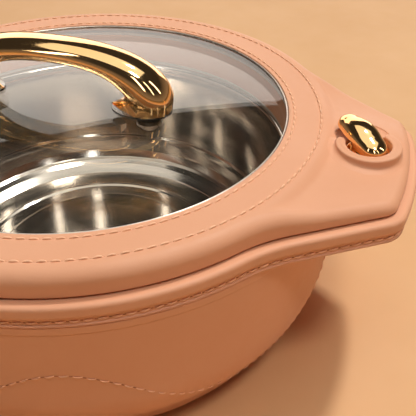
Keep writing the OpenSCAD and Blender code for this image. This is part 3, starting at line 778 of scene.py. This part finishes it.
def build_liner():
    """The lid's inner tube with its flange, and the seal under it."""
    tube = rounded([(100.3, LINER_TOP_Z, 0.4), (100.3, 86.0, 0.8), (103.7, 86.0, 0.8), (103.9, 97.2, 0.8),
                    (120.0, 97.2, 0.3), (120.0, 99.1, 0.3), (103.7, 99.1, 0.3), (103.7, LINER_TOP_Z, 0.3)])
    liner = turned("liner_moulding", tube, segments=224)
    for i in range(LINER_SCREWS):
        at = LINER_SCREW_R * direction(30 + 360 / LINER_SCREWS * i)
        hole = [(0, 96), (2.0, 96), (2.0, 98.2), (1.1, 98.2), (1.1, 101), (0, 101)]
        cut(liner, turned("hole", hole, at, 24, False))
    even_normals(liner)
    finish_piece(liner, "lid", "peach_plastic", PEACH_IN, "lid_liner")
    lips = rounded([(100.7, 85.95, 0.2), (100.7, 84.6, 0.5), (101.6, 83.82, 0.4), (102.4, 84.5, 0.3),
                    (103.2, 83.9, 0.4), (103.4, 85.0, 0.3), (103.4, 85.95, 0.2)])
    seal = turned("seal_ring", lips, segments=224)
    finish_piece(seal, "lid", "silicone", SEAL, "lid_seal")


# ---- handle ----

HANDLE_HALF = 59.5
HANDLE_H = 29.5
HANDLE_T = 10.5
HANDLE_ROUND = 2.4
NECK_X = 39.0
NECK_H = 9.0
LIP_X = 28.0
FOOT_Z = 110.6
SKIRT_H = 6.3
FOOT_FADE_H = 16.0
HANDLE_HALF_W = 9.4
FOOT_FLARE = 2.0
DOME_ROUND = 2.4


def handle_line(half, height, t):
    power = 2 / HANDLE_ROUND
    x = half * np.sign(math.cos(t)) * abs(math.cos(t)) ** power
    return np.array([x, height * math.sin(t) ** power])


def handle_section(t):
    """One closed section of the handle: a broad dome over a narrowing underside."""
    o = handle_line(HANDLE_HALF, HANDLE_H, t)
    i = handle_line(NECK_X, HANDLE_H - HANDLE_T, t)
    sign = np.sign(math.cos(t))
    i[0] -= sign * (NECK_X - LIP_X) * max(0.0, 1 - i[1] / NECK_H) ** 2
    foot = abs(math.cos(t)) ** 2
    near = max(0.0, 1 - o[1] / FOOT_FADE_H) ** 1.2
    half_w = HANDLE_HALF_W + FOOT_FLARE * foot
    low = o[1] < SKIRT_H
    pinch = 1 - 0.055 * (1 - o[1] / SKIRT_H) - 0.022 if low else 1.0
    edge = 0.42 + 0.08 * near
    keel = 0.5 * (1 - near) + 0.05
    dome = []
    power = 2 / DOME_ROUND
    for a in np.radians(np.linspace(0, 180, 25))[1:-1]:
        y = abs(math.cos(a)) ** power * np.sign(math.cos(a))
        n = edge + (1 - edge) * math.sin(a) ** power * pinch
        dome.append((half_w * y * pinch, n, 0))
    w = half_w * pinch
    mid = edge * 0.42
    bow = 0.62 - 0.16 * near
    corners = [(w, edge, 0.03)] + dome + [(-w, edge, 0.03)]
    corners += [(-w * bow - w * keel * 0.3, mid, 0), (-w * keel, 0.02, 0.03), (0, 0, 0)]
    corners += [(w * keel, 0.02, 0.03), (w * bow + w * keel * 0.3, mid, 0)]
    depth = np.linalg.norm(o - i)
    flat = rounded([(y, n * depth, r * 12) for y, n, r in corners], steps=3)
    along = (o - i) / depth
    return np.array([[HANDLE_MID_X + i[0] + along[0] * n, y, FOOT_Z + i[1] + along[1] * n] for y, n in flat])


def build_handle():
    lift = [0.0, 0.25, 1.5, 3.0, 4.5, 5.7, 6.1, SKIRT_H - 0.02, SKIRT_H + 0.12, 6.8, 7.6, 9, 10.7]
    lift += [12.5, 14.5, 16.5, 18.5, 20.3, 22]
    turns = [math.asin((z / HANDLE_H) ** (HANDLE_ROUND / 2)) for z in lift]
    turns += list(np.linspace(turns[-1], math.pi / 2, 20)[1:])
    turns += [math.pi - t for t in turns[-2::-1]]
    handle = skin("handle_bar", [handle_section(t) for t in turns], False, True, 30)
    finish_piece(handle, "lid", "gold_plate", GOLD, "handle")


# ---- locks ----

LEVER_DEG = 130.0
LEVER_REACH = 20.5
LEVER_BACK_X = -3.2
LEVER_BACK_R = 6.2
LEVER_TIP_R = 5.7
LEVER_ROUND = 2.25
ROOT_R = 5.9
WELL_Z = 103.55
ROOT_ROWS = ((0.9, WELL_Z), (0.97, WELL_Z + 0.15), (1.0, WELL_Z + 0.5), (1.0, 107.0), (0.86, 108.7))
DISC_R = (3.3, 9.6)
DISC_T = 1.1

# The lever's section by place along it: half width, edge, height of the dome, underside
LEVER_PLACES = (-9.5, -3.2, 2.0, 6.5, 11.0, 14.8, 20.6)
LEVER_WIDTHS = (6.2, 6.2, 6.9, 7.0, 6.5, 5.7, 5.7)
LEVER_EDGES = (106.6, 107.3, 108.3, 108.8, 109.1, 109.3, 109.9)
LEVER_DOMES = (4.2, 4.8, 6.0, 6.4, 5.8, 4.9, 4.4)
LEVER_UNDERS = (106.0, 106.4, 107.6, 108.4, 108.5, 108.6, 109.4)


def smooth_value(places, values, x):
    """Value at x on a smooth line through the values at their places."""
    slopes = np.gradient(np.array(values), np.array(places))
    i = int(np.clip(np.searchsorted(places, x) - 1, 0, len(places) - 2))
    step = places[i + 1] - places[i]
    t = (x - places[i]) / step
    first = (2 * t ** 3 - 3 * t ** 2 + 1) * values[i] + (t ** 3 - 2 * t ** 2 + t) * step * slopes[i]
    second = (3 * t ** 2 - 2 * t ** 3) * values[i + 1] + (t ** 3 - t ** 2) * step * slopes[i + 1]
    return first + second


def lever_section(x):
    """One section of the lever across its length: a dome over a narrow flat underside."""
    share = 1.0
    if x < LEVER_BACK_X:
        share = math.sqrt(max(0.0, 1 - ((LEVER_BACK_X - x) / LEVER_BACK_R) ** 2))
    tip_x = LEVER_REACH - LEVER_TIP_R
    if x > tip_x:
        share = math.sqrt(max(0.0, 1 - ((x - tip_x) / LEVER_TIP_R) ** 2))
    share = max(share, 0.02)
    w = share * smooth_value(LEVER_PLACES, LEVER_WIDTHS, x)
    edge = smooth_value(LEVER_PLACES, LEVER_EDGES, x)
    dome = share ** 0.8 * smooth_value(LEVER_PLACES, LEVER_DOMES, x)
    under = edge - share ** 0.5 * (edge - smooth_value(LEVER_PLACES, LEVER_UNDERS, x))
    power = 2 / LEVER_ROUND
    corners = [(w, edge, 0.35)]
    for a in np.radians(np.linspace(0, 180, 25))[1:-1]:
        y = w * abs(math.cos(a)) ** power * np.sign(math.cos(a))
        corners.append((y, edge + dome * math.sin(a) ** power, 0))
    corners += [(-w, edge, 0.35), (-w * 0.86, under, 0.5), (-w * 0.4, under, 0), (w * 0.4, under, 0)]
    corners += [(w * 0.86, under, 0.5)]
    return np.array([[x, y, z] for y, z in rounded(corners, steps=3)])


def build_levers():
    """The gold levers: a long dome whose root goes down into the wing's well."""
    back = [LEVER_BACK_X - LEVER_BACK_R * math.cos(a) for a in np.radians(np.linspace(2, 90, 14))]
    tip_x = LEVER_REACH - LEVER_TIP_R
    tip = [tip_x + LEVER_TIP_R * math.sin(a) for a in np.radians(np.linspace(0, 88, 14))]
    stations = back + list(np.linspace(LEVER_BACK_X, tip_x, 24)[1:-1]) + tip
    for side, turn in LOCK_TURN.items():
        at = direction(turn) * LOCK_X
        axis = direction(turn + LEVER_DEG)
        across = direction(turn + LEVER_DEG + 90)
        rows = []
        for x in stations:
            part = lever_section(x)
            rows.append(raised(at + part[:, :1] * axis + part[:, 1:2] * across, part[:, 2]))
        lever = skin("lever_bar_" + side, rows, False, True, 40)
        finish_piece(lever, "lock_" + side, "gold_plate", GOLD, "lock_lever_" + side)
        ends = direction(np.linspace(-90, 90, 25))
        ring = np.concatenate([ends + [-LEVER_BACK_X / ROOT_R, 0], -ends + [LEVER_BACK_X / ROOT_R, 0]])
        rows = []
        for scale, z in ROOT_ROWS:
            flat = ring * ROOT_R * scale
            rows.append(raised(at + flat[:, :1] * axis + flat[:, 1:] * across, z))
        root = skin("lever_root_" + side, rows, False, True, 60)
        finish_piece(root, "lock_" + side, "gold_plate", GOLD)
        disc = rounded([
            (DISC_R[0], WELL_Z, 0.2), (DISC_R[1], WELL_Z, 0.4),
            (DISC_R[1], WELL_Z + DISC_T, 0.4), (DISC_R[0], WELL_Z + DISC_T, 0.2),
        ])
        piece = turned("lever_disc_" + side, disc, at, 72)
        finish_piece(piece, "lock_" + side, "gold_plate", GOLD)


# ---- stitches ----

THREAD_ROWS = 9
THREAD_SIDES = 8


def circle_steps():
    """The angles of a thread's or a hole's corners."""
    return np.linspace(0, 2 * math.pi, THREAD_SIDES + 1)[:-1]


def stitch_rows(center, along, out, length, width, height):
    """A short thread that rises from one hole and sinks into the next."""
    side = np.cross(out, along)
    rows = []
    for s in np.linspace(-1, 1, THREAD_ROWS):
        lift = height * (1 - abs(s) ** 3.2) - 0.2
        radius = width * (1 - 0.4 * s * s)
        middle = center + along * s * length / 2 + out * lift
        ring = [middle + radius * (math.cos(a) * side + 0.8 * math.sin(a) * out) for a in circle_steps()]
        rows.append(np.array(ring))
    return rows


def build_stitches(name, path, outs, pitch_count, body, look, hole_shade_material):
    """Even stitches along a closed path, and flat discs between them painted dark as the shade inside the
    stitch holes.
    """
    share, width, height, pit, tilt = look
    steps = np.linalg.norm(np.roll(path, -1, axis=0) - path, axis=1)
    length = np.concatenate([[0], np.cumsum(steps)])
    ends = np.concatenate([path, path[:1]])
    ends_out = np.concatenate([outs, outs[:1]])

    def at(s):
        s = s % length[-1]
        point = np.array([np.interp(s, length, ends[:, k]) for k in range(3)])
        out = np.array([np.interp(s, length, ends_out[:, k]) for k in range(3)])
        return point, out / np.linalg.norm(out)

    pitch = length[-1] / pitch_count
    threads = []
    faces = []
    pits = []
    pit_faces = []
    for i in range(pitch_count):
        point, out = at(i * pitch)
        along = at(i * pitch + 0.6)[0] - at(i * pitch - 0.6)[0]
        along = along / np.linalg.norm(along)
        slant = along + tilt * np.cross(out, along)
        rows = stitch_rows(point, slant / np.linalg.norm(slant), out, pitch * share, width, height)
        first = len(threads) * THREAD_SIDES
        last = first + (THREAD_ROWS - 1) * THREAD_SIDES
        faces += [tuple(first + v for v in f) for f in grid_faces(THREAD_ROWS, THREAD_SIDES, False)]
        faces.append(tuple(first + k for k in range(THREAD_SIDES)))
        faces.append(tuple(last + k for k in range(THREAD_SIDES)))
        threads += rows
        point, out = at((i + 0.5) * pitch)
        along = at((i + 0.5) * pitch + 0.4)[0] - at((i + 0.5) * pitch - 0.4)[0]
        along = along / np.linalg.norm(along)
        side = np.cross(out, along)
        first = len(pits)
        half = pitch * (1 - share) * 0.5
        for lift, scale in ((-0.1, 1.0), (0.03, 0.9)):
            for a in circle_steps():
                flat = half * math.cos(a) * along + pit * math.sin(a) * side
                pits.append(point + scale * flat + lift * out)
        pit_faces += [tuple(first + v for v in f) for f in grid_faces(2, THREAD_SIDES, False)]
        pit_faces.append(tuple(first + THREAD_SIDES + k for k in range(THREAD_SIDES)))
        pit_faces.append(tuple(first + THREAD_SIDES - 1 - k for k in range(THREAD_SIDES)))
    thread = tidy_mesh(new_object("stitches_" + name, np.concatenate(threads) * MM, faces), 80)
    finish_piece(thread, body, "peach_plastic", THREAD)
    # The discs between the threads carry painted shade for the holes
    hole = tidy_mesh(new_object("stitch_hole_shade_" + name, np.array(pits) * MM, pit_faces), 80)
    finish_piece(hole, body, "peach_plastic", hole_shade_material)


WAVE_MID = 37.6
WAVE_FIRST = 17.6
WAVE_SECOND = 4.4
WAVE_COUNT = 4
WAVE_DEG = -72.0
WAVE_SINK = 0.18
WAVE_STITCHES = 160
BAND_STITCHES = 176
BAND_SEAM_Z = 88.95
RING_SEAMS = (("inner", INNER_STITCH_R, 135), ("outer", OUTER_STITCH_R, 150))

# Looks of the seams: thread's share of the pitch, its radius and height, the hole's half width and slant
RING_LOOK = (0.80, 0.5, 0.62, 0.22, 0.07)
BAND_LOOK = (0.74, 0.44, 0.52, 0.34, 0.1)
WAVE_LOOK = (0.7, 0.38, 0.5, 0.34, 0.12)


def build_all_stitches():
    degrees = np.arange(720) / 2
    around = direction(degrees)
    up = np.tile([0.0, 0.0, 1.0], (len(degrees), 1))
    for name, radius, count in RING_SEAMS:
        path = raised(radius * around, RING_Z - GROOVE_DEPTH)
        # The ring's holes take the lighter painted shade
        build_stitches(name, path, up, count, "lid", RING_LOOK, HOLE_SHADE_SOFT)
    path = plan_row(BAND_INSET + 0.75, BAND_SEAM_Z)
    build_stitches("band", path, raised(OUT_N, 0), BAND_STITCHES, "base", BAND_LOOK, HOLE_SHADE)
    turns = np.radians(WAVE_COUNT * (degrees - WAVE_DEG))
    heights = WAVE_MID + WAVE_FIRST * np.cos(turns) + WAVE_SECOND * np.cos(2 * turns)
    radii = np.array([shell_side_r(z) - WAVE_SINK for z in heights])
    lower = np.array([shell_side_r(z - 0.5) - WAVE_SINK for z in heights])
    slope = (radii - lower) / 0.5
    path = raised(radii[:, None] * around, heights)
    outs = np.column_stack([around, -slope])
    outs /= np.linalg.norm(outs, axis=1)[:, None]
    build_stitches("wave", path, outs, WAVE_STITCHES, "base", WAVE_LOOK, HOLE_SHADE)


# ---- nodes that stay as packed ----

def dress_nodes():
    kept = {
        "bowl_insulation": FOAM, "lid_insulation": FOAM, "base_cover": PEACH_IN, "rubber_feet": RUBBER,
        "pane_gasket": SEAL, "handle_pads": CLEAR_RUBBER,
    }
    hidden = {"outer_shell", "rim_collar", "inner_bowl", "lid_frame", "window_pane", "lid_liner", "lid_seal",
              "handle", "lock_lever_right", "lock_lever_left"}
    for name, obj in nodes.items():
        if name in hidden:
            continue
        obj.data.materials.clear()
        obj.data.materials.append(kept.get(name, PLAIN_STEEL))


# ---- room ----

FLOOR_LIGHT = (0.80, 0.485, 0.25)
FLOOR_DEEP = (0.735, 0.425, 0.205)
FLOOR_HALF = 25.0


def floor_material():
    mat, tree, shader, _ = new_material("floor_pale")
    where = place(tree)
    patches = ramp(tree, noise(tree, where, 9, 5), FLOOR_DEEP, FLOOR_LIGHT)
    tree.links.new(patches, shader.inputs["Base Color"])
    tree.links.new(spread(tree, noise(tree, where, 60, 3), 0.6, 0.7), shader.inputs["Roughness"])
    shader.inputs["Specular IOR Level"].default_value = 0.25
    return mat


def build_room():
    h = FLOOR_HALF
    verts = [(-h, -h, 0), (h, -h, 0), (h, h, 0), (-h, h, 0)]
    floor = new_object("floor", verts, [(0, 1, 2, 3)])
    floor.data.materials.append(floor_material())


def area_light(name, at, aim, size, power, color):
    data = bpy.data.lights.new(name, "AREA")
    data.shape = "RECTANGLE"
    data.size = size[0]
    data.size_y = size[1]
    data.energy = power
    data.color = color
    obj = bpy.data.objects.new(name, data)
    bpy.context.scene.collection.objects.link(obj)
    obj.location = at
    look = Vector(aim) - Vector(at)
    obj.rotation_euler = look.to_track_quat("-Z", "Y").to_euler()
    obj.visible_camera = False
    return obj


# Lights: name, place, size, power, colour
AIM = (0.0, 0.0, 0.06)
LIGHTS = (
    ("key", (0.657, 0.925, 2.78), (0.26, 0.26), 45.0, (1.0, 0.97, 0.93)),
    ("front", (0.66, -0.48, 1.75), (0.30, 0.30), 8.5, (1.0, 0.93, 0.86)),
    ("top", (0.0, 0.1, 2.0), (2.1, 2.1), 15.5, (1.0, 0.93, 0.84)),
)

# The bright card behind the object, and the narrow strips that show only in gloss
CARD = ("back", (-0.65, 2.35, 0.80), AIM, (3.4, 1.15), 26.0, (1.0, 0.88, 0.80))
CARD_ROLL = 14.0
STRIPS = ((-120.0, 0.12, 2.4), (-66.0, 0.16, 3.0), (-34.0, 0.12, 1.8), (8.0, 0.18, 3.0))
STRIP_FAR = 1.6
STRIP_Z = 1.15
STRIP_AIM = (0.0, 0.0, 0.1)
STRIP_COLOR = (1.0, 0.96, 0.92)
ROOM_LOW = (0.40, 0.31, 0.25)
ROOM_HIGH = (0.05, 0.043, 0.038)
ROOM_STRENGTH = 0.7


def build_lights():
    for name, at, size, power, color in LIGHTS:
        area_light(name, at, AIM, size, power, color)
    card = area_light(*CARD)
    card.rotation_euler.rotate_axis("Z", math.radians(CARD_ROLL))
    card.visible_diffuse = False
    for i, (deg, width, power) in enumerate(STRIPS):
        x, y = STRIP_FAR * direction(deg)
        strip = area_light("strip_%d" % i, (x, y, STRIP_Z), STRIP_AIM, (width, 1.0), power, STRIP_COLOR)
        strip.visible_diffuse = False


def build_world():
    """A dim room, brighter towards the horizon."""
    world = bpy.data.worlds.new("soft_room")
    world.use_nodes = True
    tree = world.node_tree
    back = tree.nodes["Background"]
    coord = tree.nodes.new("ShaderNodeTexCoord")
    split = tree.nodes.new("ShaderNodeSeparateXYZ")
    tree.links.new(coord.outputs["Generated"], split.inputs[0])
    shade = ramp(tree, split.outputs["Z"], ROOM_LOW, ROOM_HIGH, 0.0, 0.40)
    tree.links.new(shade, back.inputs["Color"])
    back.inputs["Strength"].default_value = ROOM_STRENGTH
    bpy.context.scene.world = world


CAMERA_AT = (0.1377, -0.2589, 0.2594)
CAMERA_LOOK = (-0.2194, 0.7700, -0.5990)
CAMERA_LENS = 57.55


def build_camera():
    data = bpy.data.cameras.new("camera")
    data.sensor_width = 36.0
    data.lens = CAMERA_LENS
    data.clip_start = 0.01
    data.dof.use_dof = False
    camera = bpy.data.objects.new("camera", data)
    bpy.context.scene.collection.objects.link(camera)
    camera.location = CAMERA_AT
    camera.rotation_euler = Vector(CAMERA_LOOK).to_track_quat("-Z", "Y").to_euler()
    bpy.context.scene.camera = camera


def main():
    dress_nodes()
    build_shell()
    build_rim()
    build_bowl()
    build_lid()
    build_collars()
    build_pane()
    build_liner()
    build_handle()
    build_levers()
    build_all_stitches()
    build_room()
    build_lights()
    build_world()
    build_camera()
    bpy.context.scene.view_settings.view_transform = "Standard"


main()
